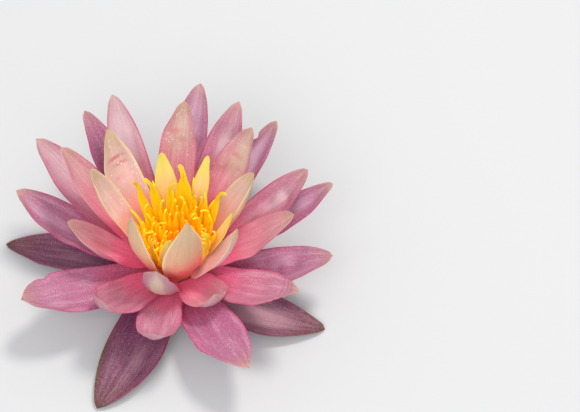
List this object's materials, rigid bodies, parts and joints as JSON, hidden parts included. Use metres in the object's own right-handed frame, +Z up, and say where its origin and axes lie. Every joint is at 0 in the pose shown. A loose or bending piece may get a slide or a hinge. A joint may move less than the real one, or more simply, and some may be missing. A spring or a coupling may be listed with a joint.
{
  "type": "water lily flower",
  "caption": "Open water lily flower with cupped pink petals in whorls around a golden bunch of stamens, on a short cut stalk and spread sepals.",
  "frame": {"origin": "centre of the stalk's flat cut face, on the surface the flower stands on", "axes": "+Z up through the flower, +Y towards the back petals, +X to the right, where the head leans a little"},
  "size_m": [0.1257, 0.1214, 0.0579],
  "materials": {
    "stalk_green": "fresh cut stalk, matte",
    "receptacle_cream": "fleshy, matte",
    "stigma_gold": "fleshy, satin",
    "stamen_orange": "fleshy strap, satin",
    "sepal": "soft petal skin, satin",
    "outer_petal": "soft petal skin, satin",
    "second_petal": "soft petal skin, satin",
    "third_petal": "soft petal skin, satin",
    "inner_petal": "soft petal skin, satin",
    "yellow_petal": "soft petal skin, satin",
    "petal_stamen": "soft petal skin, satin"
  },
  "bodies": {
    "root": {"flower_stalk": "stalk_green", "receptacle": "receptacle_cream", "stigma": "stigma_gold", "sepal_1": "sepal", "sepal_2": "sepal", "sepal_3": "sepal", "sepal_4": "sepal", "outer_petal_1": "outer_petal", "outer_petal_2": "outer_petal", "outer_petal_3": "outer_petal", "outer_petal_4": "outer_petal", "outer_petal_5": "outer_petal", "outer_petal_6": "outer_petal", "outer_petal_7": "outer_petal", "outer_petal_8": "outer_petal", "second_petal_1": "second_petal", "second_petal_2": "second_petal", "second_petal_3": "second_petal", "second_petal_4": "second_petal", "second_petal_5": "second_petal", "second_petal_6": "second_petal", "second_petal_7": "second_petal", "third_petal_1": "third_petal", "third_petal_2": "third_petal", "third_petal_3": "third_petal", "third_petal_4": "third_petal", "third_petal_5": "third_petal", "third_petal_6": "third_petal", "third_petal_7": "third_petal", "inner_petal_1": "inner_petal", "inner_petal_2": "inner_petal", "inner_petal_3": "inner_petal", "inner_petal_4": "inner_petal", "inner_petal_5": "inner_petal", "inner_petal_6": "inner_petal", "yellow_petal_1": "yellow_petal", "yellow_petal_2": "yellow_petal", "yellow_petal_3": "yellow_petal", "yellow_petal_4": "yellow_petal", "petal_stamen_1": "petal_stamen", "petal_stamen_2": "petal_stamen", "petal_stamen_3": "petal_stamen", "petal_stamen_4": "petal_stamen", "petal_stamen_5": "petal_stamen", "petal_stamen_6": "petal_stamen", "petal_stamen_7": "petal_stamen", "petal_stamen_8": "petal_stamen", "petal_stamen_9": "petal_stamen", "petal_stamen_10": "petal_stamen", "outer_stamens": "stamen_orange", "middle_stamens": "stamen_orange", "inner_stamens": "stamen_orange"}
  },
  "joints": []
}
